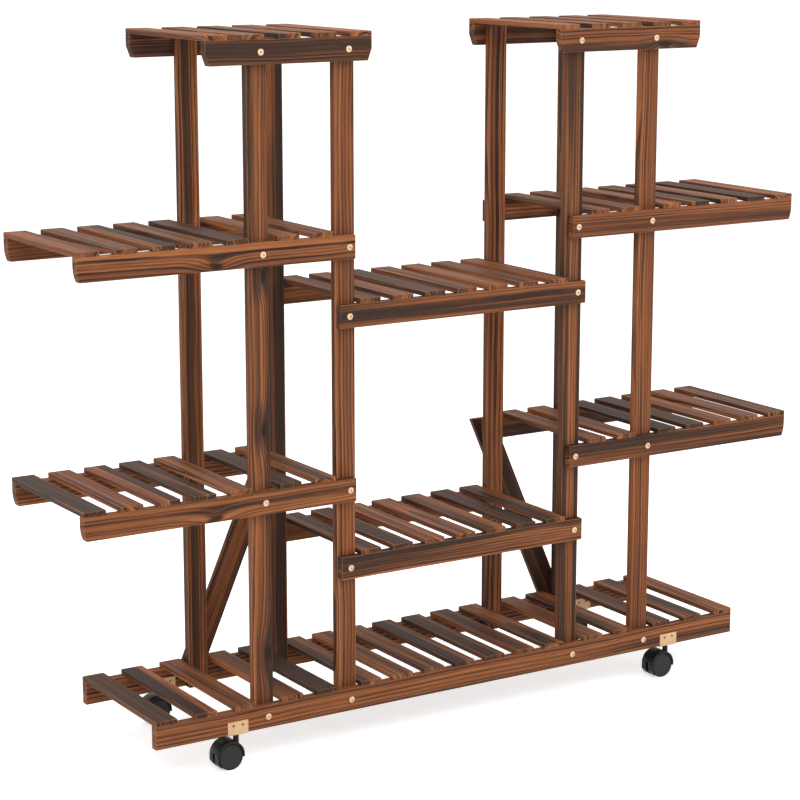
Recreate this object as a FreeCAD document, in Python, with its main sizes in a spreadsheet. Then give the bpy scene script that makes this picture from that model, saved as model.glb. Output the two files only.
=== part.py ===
import FreeCAD, Part
import Sketcher
import math
import os
from types import SimpleNamespace

# Rolling plant stand: nine slatted shelves on four columns of paired posts, on four twin-wheel castors.
# Millimetres. X runs along the shelves, Y from front to back, Z up. The origin is on the floor, under the
# middle of the stand.

doc = FreeCAD.newDocument("PlantStand")
sheet = doc.addObject("Spreadsheet::Sheet", "Sizes")

driving_sizes = {
    # Boards
    "stand_depth": 250,
    "rail_height": 35,
    "rail_thickness": 13.5,
    "post_width": 32.5,
    "post_depth": 13.5,
    "slat_width": 35.4,
    "slat_thickness": 7.5,
    "brace_width": 40,
    "brace_thickness": 8,
    # Columns: the inner ones from the middle of the stand, and the outer ones from those
    "inner_column": 207,
    "column_spacing": 144,
    # How far the rails run past the bolts in their last columns
    "base_overhang": 185.5,
    "side_overhang": 289.5,
    "top_overhang": 87.5,
    "top_inner_overhang": 39,
    "side_rail_tail": 10.4,
    "middle_rail_tail": 15.2,
    # Heights: the lower side shelves above the underside of the base, and the rest from shelf to shelf
    "lower_side_level": 361,
    "upper_side_rise": 364.2,
    "top_rise": 285.8,
    "lower_middle_drop": 119.7,
    "upper_middle_drop": 102.2,
    # Shaped rail ends
    "top_chamfer_run": 6.5,
    "top_chamfer_rise": 17,
    "side_curve_run": 4.5,
    "side_curve_rise": 22,
    # Spaces between slats, and between slats and posts
    "least_slat_gap": 18,
    "bay_post_gap": 8.75,
    "side_post_gap": 5.8,
    "base_post_gap": 3.3,
    "middle_post_gap": 1.9,
    # Bolts and their threaded inserts
    "bolt_radius": 3,
    "bolt_head_radius": 5,
    "bolt_head_height": 2.6,
    "bolt_head_rim": 0.9,
    "socket_across": 4,
    "socket_depth": 1.8,
    "bolt_clearance": 0.25,
    "bolt_tip_gap": 1,
    "thread_clearance": 0.05,
    "insert_radius": 4.5,
    "insert_cover": 2.5,
    "insert_clearance": 0.05,
    # Brads through the slats
    "brad_radius": 0.7,
    "brad_length": 18,
    "brad_set": 0.6,
    # Castor brackets and their screws
    "bracket_width": 34,
    "bracket_flange": 20,
    "bracket_thickness": 1.2,
    "screw_spacing": 15.4,
    "screw_drop": 6,
    "screw_radius": 1.1,
    "screw_head_radius": 1.8,
    "screw_head_height": 0.5,
    "screw_bite": 5,
    "screw_clearance": 0.1,
    # Castors
    "bracket_brace_gap": 4.9,
    "castor_trail": 15,
    "wheel_radius": 20,
    "wheel_width": 8.4,
    "wheel_edge": 1.6,
    "wheel_rim": 2,
    "disc_recess": 0.6,
    "wheel_gap": 0.4,
    "web_thickness": 9,
    "hood_gap": 0.6,
    "hood_wall": 1.6,
    "hood_lip": 0.5,
    "hood_rise": 2,
    "hood_lead_drop": 2,
    "hood_trail_drop": 7.3,
    "hood_toe_setback": 6,
    "hood_toe_drop": 14.7,
    "hood_slot_width": 6,
    "hood_slot_depth": 6,
    "hood_slot_rise": 6,
    "head_room": 6,
    "swivel_gap": 0.5,
    "boss_radius": 4.4,
    "boss_height": 25,
    "pin_radius": 3,
    "pin_depth": 20,
    "pin_tip_gap": 0.5,
    "pin_clearance": 0.05,
    "axle_radius": 2.5,
    "wheel_face": 2.6,
    "axle_end_gap": 0.4,
    "axle_clearance": 0.05,
}

for row, (alias, value) in enumerate(driving_sizes.items(), start=1):
    sheet.set(f"A{row}", alias)
    sheet.set(f"B{row}", str(value))
    sheet.setAlias(f"B{row}", alias)
doc.recompute()


class Size:
    """A length as a formula over the sheet's cells, with its present value to draw a first sketch from."""

    def __init__(self, formula, value):
        self.formula = formula
        self.value = value

    def __add__(self, other):
        other = as_size(other)
        return Size(f"({self.formula} + {other.formula})", self.value + other.value)

    def __sub__(self, other):
        other = as_size(other)
        return Size(f"({self.formula} - {other.formula})", self.value - other.value)

    def __mul__(self, other):
        other = as_size(other)
        return Size(f"({self.formula} * {other.formula})", self.value * other.value)

    def __truediv__(self, other):
        other = as_size(other)
        return Size(f"({self.formula} / {other.formula})", self.value / other.value)

    def __neg__(self):
        return Size(f"(0 - {self.formula})", -self.value)


def as_size(number):
    return number if isinstance(number, Size) else Size(str(number), number)


def hypotenuse(run, rise):
    square = run * run + rise * rise
    return Size(f"sqrt({square.formula})", math.sqrt(square.value))


dim = SimpleNamespace(**{alias: Size(f"Sizes.{alias}", sheet.get(alias)) for alias in driving_sizes})

# Places that several pieces share
hood_radius = dim.wheel_radius + dim.hood_gap + dim.hood_wall
bracket_bottom = dim.wheel_radius + hood_radius + dim.hood_rise + dim.head_room
frame_bottom = bracket_bottom + dim.bracket_thickness
rail_outer_y = dim.stand_depth / 2
rail_inner_y = rail_outer_y - dim.rail_thickness
rail_middle_y = rail_outer_y - dim.rail_thickness / 2
post_half = dim.post_width / 2
bolt_drop = dim.rail_height / 2
insert_length = dim.post_depth - dim.insert_cover
shank_length = insert_length - dim.bolt_tip_gap
outer_column = dim.inner_column + dim.column_spacing
base_reach = outer_column + dim.base_overhang
side_reach = outer_column + dim.side_overhang
side_inset = dim.inner_column - dim.side_rail_tail
middle_reach = dim.inner_column + dim.middle_rail_tail
top_reach = outer_column + dim.top_overhang
top_inset = dim.inner_column - dim.top_inner_overhang
upper_side_level = dim.lower_side_level + dim.upper_side_rise
top_level = upper_side_level + dim.top_rise

half_turn = FreeCAD.Rotation(FreeCAD.Vector(0, 0, 1), 180)
columns = {
    "outer_left": -outer_column,
    "inner_left": -dim.inner_column,
    "inner_right": dim.inner_column,
    "outer_right": outer_column,
}
sides = {"front": -1, "back": 1}

nodes = []


def bind(thing, **formulas):
    for name, size in formulas.items():
        thing.setExpression(name, as_size(size).formula)


def place(thing, x, y, z):
    for axis, size in zip("xyz", (x, y, z)):
        thing.setExpression(f"Placement.Base.{axis}", as_size(size).formula)


def node(thing, label):
    thing.Label = label
    nodes.append(thing)


def group(label, pieces):
    bundle = doc.addObject("Part::Compound", label)
    bundle.Links = pieces
    node(bundle, label)


def copy_of(piece, name, x, y, z, turned=False):
    link = doc.addObject("App::Link", name)
    link.LinkedObject = piece
    if turned:
        link.Placement.Rotation = half_turn
    place(link, x, y, z)
    return link


def new_sketch(body, name, plane):
    sketch = body.newObject("Sketcher::SketchObject", name)
    support = next(feature for feature in body.Origin.OriginFeatures if feature.Role == plane)
    sketch.AttachmentSupport = (support, [""])
    sketch.MapMode = "FlatFace"
    return sketch


def fix_point(sketch, element, end, x, y):
    """Ties one point of a sketch to its distances from the origin, or to an axis where it lies on it."""
    for kind, axis, size in (("DistanceX", -2, as_size(x)), ("DistanceY", -1, as_size(y))):
        if size.value == 0:
            sketch.addConstraint(Sketcher.Constraint("PointOnObject", element, end, axis))
            continue
        ends = (-1, 1, element, end) if size.value > 0 else (element, end, -1, 1)
        length = size if size.value > 0 else -size
        index = sketch.addConstraint(Sketcher.Constraint(kind, *ends, length.value))
        sketch.setExpression(f"Constraints[{index}]", length.formula)


def flat(x, y):
    return FreeCAD.Vector(as_size(x).value, as_size(y).value, 0)


def outline(body, name, plane, corners, arcs=()):
    """Draws a closed outline through the corners. An arc (corner, centre, smooth corner) replaces the line
    that leaves its corner, and runs on smoothly from the line at its smooth corner, if it has one."""
    sketch = new_sketch(body, name, plane)
    count = len(corners)
    rounds = {corner: (centre, smooth) for corner, centre, smooth in arcs}
    flipped = set()
    for index, corner in enumerate(corners):
        here, there = flat(*corner), flat(*corners[(index + 1) % count])
        if index not in rounds:
            sketch.addGeometry(Part.LineSegment(here, there))
            continue
        centre = flat(*rounds[index][0])
        angles = [math.atan2(point.y - centre.y, point.x - centre.x) for point in (here, there)]
        if (angles[1] - angles[0]) % (2 * math.pi) > math.pi:
            angles.reverse()
            flipped.add(index)
        circle = Part.Circle(centre, FreeCAD.Vector(0, 0, 1), (here - centre).Length)
        sketch.addGeometry(Part.ArcOfCircle(circle, *angles))

    def begin(index):
        return 2 if index in flipped else 1

    def finish(index):
        return 1 if index in flipped else 2

    for index in range(count):
        follower = (index + 1) % count
        smooth = any(follower == turn[1] and {index, follower} & {at} for at, turn in rounds.items())
        kind = "Tangent" if smooth else "Coincident"
        sketch.addConstraint(Sketcher.Constraint(kind, index, finish(index), follower, begin(follower)))
    for index, corner in enumerate(corners):
        fix_point(sketch, index, begin(index), *corner)
    return sketch


def holes(body, name, plane, centres, radius):
    sketch = new_sketch(body, name, plane)
    for x, y in centres:
        circle = sketch.addGeometry(Part.Circle(flat(x, y), FreeCAD.Vector(0, 0, 1), radius.value))
        fix_point(sketch, circle, 3, x, y)
        index = sketch.addConstraint(Sketcher.Constraint("Radius", circle, radius.value))
        sketch.setExpression(f"Constraints[{index}]", radius.formula)
    return sketch


def pad(body, sketch, length, reverse=False, both_ways=False):
    feature = body.newObject("PartDesign::Pad", f"{body.Name}_pad")
    feature.Profile = sketch
    feature.Reversed = reverse
    if both_ways:
        feature.SideType = "Symmetric"
    bind(feature, Length=length)


def drill(body, sketch, depth=None):
    feature = body.newObject("PartDesign::Pocket", f"{body.Name}_drill_{len(body.Group)}")
    feature.Profile = sketch
    if depth is None:
        feature.Type = "ThroughAll"
        feature.SideType = "Symmetric"
    else:
        bind(feature, Length=depth)


def turn(body, sketch):
    feature = body.newObject("PartDesign::Revolution", f"{body.Name}_turn")
    feature.Profile = sketch
    feature.ReferenceAxis = (sketch, ["V_Axis"])
    feature.Angle = 360


def cylinder(name, radius, height):
    piece = doc.addObject("Part::Cylinder", name)
    bind(piece, Radius=radius, Height=height)
    return piece


def along_y(piece, x, y, z):
    """Lays an upright cylinder or prism along +Y from the given point."""
    piece.Placement.Rotation = FreeCAD.Rotation(FreeCAD.Vector(1, 0, 0), -90)
    place(piece, x, y, z)
    return piece


# The shelves: where their rails start and end, the height of the rails' tops, the columns that carry them,
# the shape of the two rail ends, and their rows of slats as (start, end).

outer_post_face = outer_column + post_half
bay_start = dim.inner_column + post_half + dim.bay_post_gap
bay_end = outer_column - post_half - dim.bay_post_gap
middle_half = dim.inner_column - post_half - dim.middle_post_gap

left_bay = (-bay_end, -bay_start)
right_bay = (bay_start, bay_end)
middle_row = (-middle_half, middle_half)
side_start = outer_post_face + dim.side_post_gap
base_start = outer_post_face + dim.base_post_gap

left_columns = ["outer_left", "inner_left"]
right_columns = ["inner_right", "outer_right"]


def shelf(start, end, level, carried_by, ends, rows):
    return SimpleNamespace(
        start=start, end=end, top=frame_bottom + level, carried_by=carried_by, ends=ends, rows=rows
    )


def left_side_shelf(level):
    rows = [(-side_reach, -side_start), left_bay]
    return shelf(-side_reach, -side_inset, level, left_columns, ("curve", "square"), rows)


def right_side_shelf(level):
    rows = [right_bay, (side_start, side_reach)]
    return shelf(side_inset, side_reach, level, right_columns, ("square", "curve"), rows)


def middle_shelf(level):
    return shelf(
        -middle_reach, middle_reach, level, ["inner_left", "inner_right"], ("square", "square"), [middle_row]
    )


def top_shelf(start, end, carried_by):
    return shelf(start, end, top_level, carried_by, ("chamfer", "chamfer"), [(start, end)])


base_rows = [
    (-base_reach, -base_start),
    left_bay,
    middle_row,
    right_bay,
    (base_start, base_reach),
]
shelves = {
    "base": shelf(
        -base_reach, base_reach, dim.rail_height, list(columns), ("square", "square"), base_rows
    ),
    "lower_middle": middle_shelf(dim.lower_side_level - dim.lower_middle_drop),
    "upper_middle": middle_shelf(upper_side_level - dim.upper_middle_drop),
    "lower_left": left_side_shelf(dim.lower_side_level),
    "upper_left": left_side_shelf(upper_side_level),
    "lower_right": right_side_shelf(dim.lower_side_level),
    "upper_right": right_side_shelf(upper_side_level),
    "top_left": top_shelf(-top_reach, -top_inset, left_columns),
    "top_right": top_shelf(top_inset, top_reach, right_columns),
}


# Posts: a board on each side of every column, with a blind bore for an insert at each rail

def post(column, side):
    name = f"post_{side}_{column}"
    body = doc.addObject("PartDesign::Body", name)
    corners = [(-post_half, 0), (post_half, 0), (post_half, dim.post_depth), (-post_half, dim.post_depth)]
    pad(body, outline(body, f"{name}_section", "XY_Plane", corners), top_level)
    levels = [each.top - frame_bottom - bolt_drop for each in shelves.values() if column in each.carried_by]
    bores = holes(body, f"{name}_bores", "XZ_Plane", [(0, z) for z in levels], insert_bore)
    drill(body, bores, insert_length)
    if side == "back":
        body.Placement.Rotation = half_turn
    place(body, columns[column], rail_inner_y * sides[side], frame_bottom)
    node(body, name)


insert_bore = dim.insert_radius + dim.insert_clearance
for side in sides:
    for column in columns:
        post(column, side)


# Rails: boards on edge, bolted to the outside of the posts

bolt_hole = dim.bolt_radius + dim.bolt_clearance


def rail_outline(body, name, length, ends):
    """Corners run round the board from its lower left. A chamfer or a curve takes off a lower corner."""
    setback = {"chamfer": dim.top_chamfer_run, "curve": dim.side_curve_run}
    rise = {"chamfer": dim.top_chamfer_rise, "curve": dim.side_curve_rise}
    left, right = ends
    corners, arcs = [], []
    if left == "square":
        corners.append((0, 0))
    else:
        corners += [(0, rise[left]), (setback[left], 0)]
    if right == "square":
        corners.append((length, 0))
    else:
        corners += [(length - setback[right], 0), (length, rise[right])]
    corners += [(length, dim.rail_height), (0, dim.rail_height)]
    bend = (setback["curve"] * setback["curve"] + rise["curve"] * rise["curve"]) / (setback["curve"] * 2)
    if left == "curve":
        arcs.append((0, (bend, rise["curve"]), 0))
    if right == "curve":
        foot = len(corners) - 4
        arcs.append((foot, (length - bend, rise["curve"]), foot + 1))
    return outline(body, f"{name}_outline", "XZ_Plane", corners, arcs)


def rail(shelf_name, side):
    name = f"rail_{shelf_name}_{side}"
    board = shelves[shelf_name]
    body = doc.addObject("PartDesign::Body", name)
    pad(body, rail_outline(body, name, board.end - board.start, board.ends), dim.rail_thickness, reverse=True)
    centres = [(columns[column] - board.start, bolt_drop) for column in board.carried_by]
    drill(body, holes(body, f"{name}_holes", "XZ_Plane", centres, bolt_hole))
    front_of_board = -rail_outer_y if side == "front" else rail_inner_y
    place(body, board.start, front_of_board, board.top - dim.rail_height)
    node(body, name)


for shelf_name in shelves:
    for side in sides:
        rail(shelf_name, side)


# Slats: flat boards across each pair of rails, as many as their row has room for, spread evenly over it

def slat_places(board):
    for start, end in board.rows:
        room, pitch = end - start + dim.least_slat_gap, dim.slat_width + dim.least_slat_gap
        count = int(room.value // pitch.value)
        if count < 2:
            yield (start + end - dim.slat_width) / 2
            continue
        step = (end - start - dim.slat_width) / (count - 1)
        for index in range(count):
            yield start + step * index


def slats(shelf_name):
    board = shelves[shelf_name]
    row = []
    for x in slat_places(board):
        slat = doc.addObject("Part::Box", f"slat_{shelf_name}_{len(row) + 1}")
        bind(slat, Length=dim.slat_width, Width=dim.stand_depth, Height=dim.slat_thickness)
        place(slat, x, -rail_outer_y, board.top)
        row.append(slat)
    group(f"slats_{shelf_name}", row)


for shelf_name in shelves:
    slats(shelf_name)


# Brads: one through each end of each slat into the rail below, set under the surface

brad = cylinder("brad", dim.brad_radius, dim.brad_length)
brads = []
for board in shelves.values():
    foot = board.top + dim.slat_thickness - dim.brad_set - dim.brad_length
    for x in slat_places(board):
        for side in sides.values():
            place_y = rail_middle_y * side
            brads.append(copy_of(brad, f"brad_{len(brads) + 1}", x + dim.slat_width / 2, place_y, foot))
group("slat_brads", brads)


# Braces: diagonal boards behind the back rails, from an inner column to an outer one, cut level at the ends

brace_run = dim.column_spacing
brace_drop = dim.lower_side_level - dim.rail_height
brace_half = hypotenuse(brace_run, brace_drop) / brace_drop * dim.brace_width / 2
brace_lean = brace_run / brace_drop * bolt_drop
brace_ends = {"lower": (outer_column, bolt_drop), "upper": (dim.inner_column, brace_drop + bolt_drop)}


def brace(hand, sign):
    name = f"brace_{hand}"
    body = doc.addObject("PartDesign::Body", name)
    foot, head = outer_column + brace_lean, dim.inner_column - brace_lean
    top = dim.lower_side_level
    low_end = [(foot - brace_half, 0), (foot + brace_half, 0)]
    high_end = [(head + brace_half, top), (head - brace_half, top)]
    corners = [(x * sign, z) for x, z in low_end + high_end]
    pad(body, outline(body, f"{name}_outline", "XZ_Plane", corners), dim.brace_thickness, reverse=True)
    centres = [(x * sign, z) for x, z in brace_ends.values()]
    drill(body, holes(body, f"{name}_holes", "XZ_Plane", centres, bolt_hole))
    place(body, 0, rail_outer_y, frame_bottom)
    node(body, name)


brace("left", -1)
brace("right", 1)


# Bolts: a domed head with a hexagon socket outside, and a shank through the rail into the threaded insert in
# the post

def bolt(name, grip):
    body = doc.addObject("PartDesign::Body", name)
    head, rim, height = dim.bolt_head_radius, dim.bolt_head_rim, dim.bolt_head_height
    dome = height - rim
    ball = (head * head + dome * dome) / (dome * 2)
    tip = grip + shank_length
    corners = [
        (0, tip), (0, -height), (head, -rim), (head, 0), (dim.bolt_radius, 0), (dim.bolt_radius, tip)
    ]
    turn(body, outline(body, f"{name}_profile", "XY_Plane", corners, [(1, (0, ball - height), None)]))
    key = doc.addObject("Part::Prism", f"{name}_key")
    key.Polygon = 6
    bind(key, Circumradius=dim.socket_across / math.sqrt(3), Height=height + dim.socket_depth)
    along_y(key, 0, -height * 2, 0)
    socketed = doc.addObject("Part::Cut", f"{name}_socketed")
    socketed.Base = body
    socketed.Tool = key
    return socketed


def insert():
    sleeve = doc.addObject("Part::Cut", "insert")
    sleeve.Base = cylinder("insert_outside", dim.insert_radius, insert_length)
    sleeve.Tool = cylinder("insert_thread", dim.bolt_radius + dim.thread_clearance, insert_length)
    return sleeve


rail_bolt = bolt("rail_bolt", dim.rail_thickness)
brace_bolt = bolt("brace_bolt", dim.rail_thickness + dim.brace_thickness)
insert_sleeve = insert()
braced = [("base", "outer_left"), ("base", "outer_right"), ("lower_left", "inner_left"),
          ("lower_right", "inner_right")]
bolts, long_bolts, inserts = [], [], []
for shelf_name, board in shelves.items():
    for column in board.carried_by:
        for side, sign in sides.items():
            x, z = columns[column], board.top - bolt_drop
            at_back = side == "back"
            where = f"{shelf_name}_{column}_{side}"
            if at_back and (shelf_name, column) in braced:
                y = rail_outer_y + dim.brace_thickness
                long_bolts.append(copy_of(brace_bolt, f"brace_bolt_{where}", x, y, z, turned=True))
            else:
                bolts.append(copy_of(rail_bolt, f"bolt_{where}", x, rail_outer_y * sign, z, turned=at_back))
            sleeve = copy_of(insert_sleeve, f"insert_{where}", x, rail_inner_y * sign, z)
            sleeve.Placement.Rotation = FreeCAD.Rotation(FreeCAD.Vector(1, 0, 0), 90 * sign)
            inserts.append(sleeve)
group("frame_bolts", bolts)
group("brace_bolts", long_bolts)
group("threaded_inserts", inserts)


# Castor brackets: a saddle of plated sheet under a base rail, with a flange up each side of it

def bracket():
    body = doc.addObject("PartDesign::Body", "bracket")
    inner = dim.rail_thickness / 2
    outer, floor, height = inner + dim.bracket_thickness, -dim.bracket_thickness, dim.bracket_flange
    corners = [
        (-outer, floor), (outer, floor), (outer, height), (inner, height),
        (inner, 0), (-inner, 0), (-inner, height), (-outer, height),
    ]
    pad(body, outline(body, "bracket_section", "YZ_Plane", corners), dim.bracket_width, both_ways=True)
    centres = [(dim.screw_spacing / 2 * hand, height - dim.screw_drop) for hand in (-1, 1)]
    screw_hole = dim.screw_radius + dim.screw_clearance
    drill(body, holes(body, "bracket_screw_holes", "XZ_Plane", centres, screw_hole))
    pin_seat = holes(body, "bracket_pin_hole", "XY_Plane", [(0, 0)], dim.pin_radius + dim.pin_clearance)
    drill(body, pin_seat)
    return body


def bracket_screw():
    body = doc.addObject("PartDesign::Body", "bracket_screw")
    head, tip = dim.screw_head_radius, dim.bracket_thickness + dim.screw_bite
    corners = [
        (0, tip), (0, -dim.screw_head_height), (head, -dim.screw_head_height), (head, 0),
        (dim.screw_radius, 0), (dim.screw_radius, tip),
    ]
    turn(body, outline(body, "bracket_screw_profile", "XY_Plane", corners))
    return body


brace_foot_edge = outer_column + brace_lean + brace_half
castor_column = brace_foot_edge + dim.bracket_brace_gap + dim.bracket_width / 2
castor_places = {
    f"{side}_{hand}": (castor_column * hand_sign, rail_middle_y * sign)
    for side, sign in sides.items()
    for hand, hand_sign in (("left", -1), ("right", 1))
}
flange_face = dim.rail_thickness / 2 + dim.bracket_thickness
saddle, small_screw = bracket(), bracket_screw()
saddles, screws = [], []
for where, (x, y) in castor_places.items():
    saddles.append(copy_of(saddle, f"bracket_{where}", x, y, frame_bottom))
    for hand in (-1, 1):
        screw_x = x + dim.screw_spacing / 2 * hand
        screw_z = frame_bottom + dim.bracket_flange - dim.screw_drop
        for sign in sides.values():
            name = f"bracket_screw_{where}_{len(screws) + 1}"
            screws.append(
                copy_of(small_screw, name, screw_x, y + flange_face * sign, screw_z, turned=sign > 0)
            )
group("castor_brackets", saddles)
group("bracket_screws", screws)


# King pins: fixed in the brackets, down into the bosses of the castor hoods

boss_top = bracket_bottom - dim.swivel_gap
pin_foot = boss_top - dim.pin_depth
king_pin = cylinder("king_pin", dim.pin_radius, frame_bottom - pin_foot)
group("king_pins", [copy_of(king_pin, f"king_pin_{where}", x, y, pin_foot)
                    for where, (x, y) in castor_places.items()])


# Castor hoods: a web between the wheels, a mudguard over them and a boss round the king pin. The mudguard
# reaches down further behind the wheels, to a slanted toe, and is slotted there into the web.
# A castor's own origin is on the floor under its king pin, and its wheels trail towards -X.

half_web = dim.web_thickness / 2
wheel_inside = half_web + dim.wheel_gap
wheel_outside = wheel_inside + dim.wheel_width
axle_bore_end = wheel_outside - dim.disc_recess - dim.wheel_face
hood_half = wheel_outside + dim.hood_lip
pocket_radius = dim.wheel_radius + dim.hood_gap


def hood_drum():
    body = doc.addObject("PartDesign::Body", "hood_drum")
    radius, rise = hood_radius, dim.hood_rise
    corners = [
        (radius, -dim.hood_lead_drop), (radius, rise), (0, rise + radius), (-radius, rise),
        (-radius, -dim.hood_trail_drop), (dim.hood_toe_setback - radius, -dim.hood_toe_drop),
    ]
    arcs = [(1, (0, rise), 1), (2, (0, rise), 3)]
    pad(body, outline(body, "hood_drum_outline", "XZ_Plane", corners, arcs), hood_half * 2, both_ways=True)
    place(body, -dim.castor_trail, 0, dim.wheel_radius)
    return body


def hood():
    boss = cylinder("hood_boss", dim.boss_radius, dim.boss_height)
    place(boss, 0, 0, boss_top - dim.boss_height)
    shell = doc.addObject("Part::Fuse", "hood_shell")
    shell.Base = hood_drum()
    shell.Tool = boss
    axle_x, axle_z = -dim.castor_trail, dim.wheel_radius
    pocket_depth = hood_half - half_web
    pin_bore = cylinder("hood_pin_bore", dim.pin_radius + dim.pin_clearance, dim.pin_depth + dim.pin_tip_gap)
    place(pin_bore, 0, 0, pin_foot - dim.pin_tip_gap)
    slot = doc.addObject("Part::Box", "hood_slot")
    slot_height = dim.hood_toe_drop + dim.hood_slot_rise
    bind(slot, Length=dim.hood_slot_depth, Width=dim.hood_slot_width, Height=slot_height)
    place(slot, axle_x - hood_radius, -dim.hood_slot_width / 2, axle_z - dim.hood_toe_drop)
    cuts = [
        along_y(cylinder("hood_back_pocket", pocket_radius, pocket_depth), axle_x, half_web, axle_z),
        along_y(cylinder("hood_front_pocket", pocket_radius, pocket_depth), axle_x, -hood_half, axle_z),
        along_y(cylinder("hood_axle_hole", axle_hole, hood_half * 2), axle_x, -hood_half, axle_z),
        pin_bore,
        slot,
    ]
    removed = doc.addObject("Part::Compound", "hood_cuts")
    removed.Links = cuts
    finished = doc.addObject("Part::Cut", "hood")
    finished.Base = shell
    finished.Tool = removed
    return finished


def wheel():
    """One wheel of a pair, on the +Y side of its castor, with its axle along Y through the origin."""
    body = doc.addObject("PartDesign::Body", "wheel")
    radius, edge, inside, outside = dim.wheel_radius, dim.wheel_edge, wheel_inside, wheel_outside
    disc_radius, disc = radius - dim.wheel_rim, outside - dim.disc_recess
    bore, bore_end = dim.axle_radius + dim.axle_clearance, axle_bore_end
    corners = [
        (bore, inside), (radius - edge, inside), (radius, inside + edge), (radius, outside - edge),
        (radius - edge, outside), (disc_radius, outside), (disc_radius, disc), (0, disc),
        (0, bore_end), (bore, bore_end),
    ]
    arcs = [(1, (radius - edge, inside + edge), 1), (3, (radius - edge, outside - edge), 3)]
    turn(body, outline(body, "wheel_profile", "XY_Plane", corners, arcs))
    return body


axle_hole = dim.axle_radius + dim.axle_clearance
axle_half = axle_bore_end - dim.axle_end_gap
castor_hood, castor_wheel = hood(), wheel()
castor_axle = cylinder("axle", dim.axle_radius, axle_half * 2)
for where, (x, y) in castor_places.items():
    axle_x = x - dim.castor_trail
    node(copy_of(castor_hood, f"castor_hood_{where}", x, y, 0), f"castor_hood_{where}")
    axle = copy_of(castor_axle, f"castor_axle_{where}", 0, 0, 0)
    node(along_y(axle, axle_x, y - axle_half, dim.wheel_radius), f"castor_axle_{where}")
    for hand, turned in (("front", True), ("back", False)):
        name = f"wheel_{where}_{hand}"
        node(copy_of(castor_wheel, name, axle_x, y, dim.wheel_radius, turned), name)

doc.recompute()
for thing in doc.Objects:
    if "Invalid" in thing.State or "Error" in thing.State:
        raise RuntimeError(f"{thing.Label} did not build: {thing.State}")

os.makedirs("parts", exist_ok=True)
shapes = {thing.Label: Part.getShape(thing) for thing in nodes}
for label, shape in shapes.items():
    if shape.isNull() or not shape.isValid() or not shape.Solids:
        raise RuntimeError(f"{label} has no valid solid")
for label, shape in shapes.items():
    shape.exportStep(f"parts/{label}.step")
print(f"{len(shapes)} nodes, {sum(len(shape.Solids) for shape in shapes.values())} solids")
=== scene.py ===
import bpy
import bmesh
import math
import random
from mathutils import Matrix, Vector


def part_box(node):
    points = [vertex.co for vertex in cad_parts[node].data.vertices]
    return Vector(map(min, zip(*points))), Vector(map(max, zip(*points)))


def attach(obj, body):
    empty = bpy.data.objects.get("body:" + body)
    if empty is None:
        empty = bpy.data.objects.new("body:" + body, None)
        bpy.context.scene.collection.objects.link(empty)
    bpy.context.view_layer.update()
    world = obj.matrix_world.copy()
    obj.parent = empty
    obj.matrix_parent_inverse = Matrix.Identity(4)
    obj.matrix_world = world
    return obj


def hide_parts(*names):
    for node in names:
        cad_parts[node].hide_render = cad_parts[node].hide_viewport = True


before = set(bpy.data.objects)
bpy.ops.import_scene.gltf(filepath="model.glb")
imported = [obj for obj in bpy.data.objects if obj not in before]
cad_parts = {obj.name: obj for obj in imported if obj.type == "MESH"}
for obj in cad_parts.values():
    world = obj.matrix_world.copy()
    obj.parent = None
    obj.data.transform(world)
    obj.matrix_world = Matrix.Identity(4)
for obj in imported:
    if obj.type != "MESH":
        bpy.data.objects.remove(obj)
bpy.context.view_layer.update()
scene = bpy.context.scene
mm = 0.001
nearlySame = 0.01 * mm     # lengths closer than this count as equal
print("frame loaded:", len(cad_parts), "nodes")


# reading the frame

def solidBoxes(nodeName):
    # the lowest and highest corner of each separate solid in a node
    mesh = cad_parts[nodeName].data
    keys = [tuple(round(value, 6) for value in vertex.co) for vertex in mesh.vertices]
    leader = {key: key for key in keys}

    def lead(key):
        while leader[key] != key:
            leader[key] = leader[leader[key]]
            key = leader[key]
        return key

    for face in mesh.polygons:
        first = lead(keys[face.vertices[0]])
        for corner in face.vertices[1:]:
            leader[lead(keys[corner])] = first
    groups = {}
    for key in leader:
        groups.setdefault(lead(key), []).append(key)
    boxes = [
        (Vector(map(min, zip(*points))), Vector(map(max, zip(*points)))) for points in groups.values()
    ]
    return sorted(boxes, key=lambda box: (round(box[0].x, 4), round(box[0].y, 4), round(box[0].z, 4)))


def middleOf(box):
    return (box[0] + box[1]) / 2


def sizeOf(box):
    return box[1] - box[0]


# small helpers for nodes, used by the finishes and by the repeating pieces

def connect(tree, value, socket):
    if isinstance(value, Field):
        value = value.socket
    if isinstance(value, bpy.types.NodeSocket):
        tree.links.new(value, socket)
    else:
        socket.default_value = value


def addNode(tree, kind, inputs=None, **settings):
    node = tree.nodes.new(kind)
    for name, value in settings.items():
        setattr(node, name, value)
    for name, value in (inputs or {}).items():
        connect(tree, value, node.inputs[name])
    return node


class Field:
    # a number that changes over the surface, so that sums in a finish read as sums
    def __init__(self, tree, socket):
        self.tree, self.socket = tree, socket

    def math(self, operation, *others):
        node = addNode(self.tree, "ShaderNodeMath", operation=operation)
        for socket, value in zip(node.inputs, (self, *others)):
            connect(self.tree, value, socket)
        return Field(self.tree, node.outputs[0])

    def __add__(self, other):
        return self.math("ADD", other)

    def __sub__(self, other):
        return self.math("SUBTRACT", other)

    def __mul__(self, other):
        return self.math("MULTIPLY", other)

    def __truediv__(self, other):
        return self.math("DIVIDE", other)

    def __pow__(self, power):
        return self.math("POWER", power)

    def ramp(self, low, high, toLow=0.0, toHigh=1.0):
        inputs = {"Value": self, "From Min": low, "From Max": high, "To Min": toLow, "To Max": toHigh}
        node = addNode(self.tree, "ShaderNodeMapRange", inputs, interpolation_type="SMOOTHSTEP")
        return Field(self.tree, node.outputs["Result"])


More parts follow.
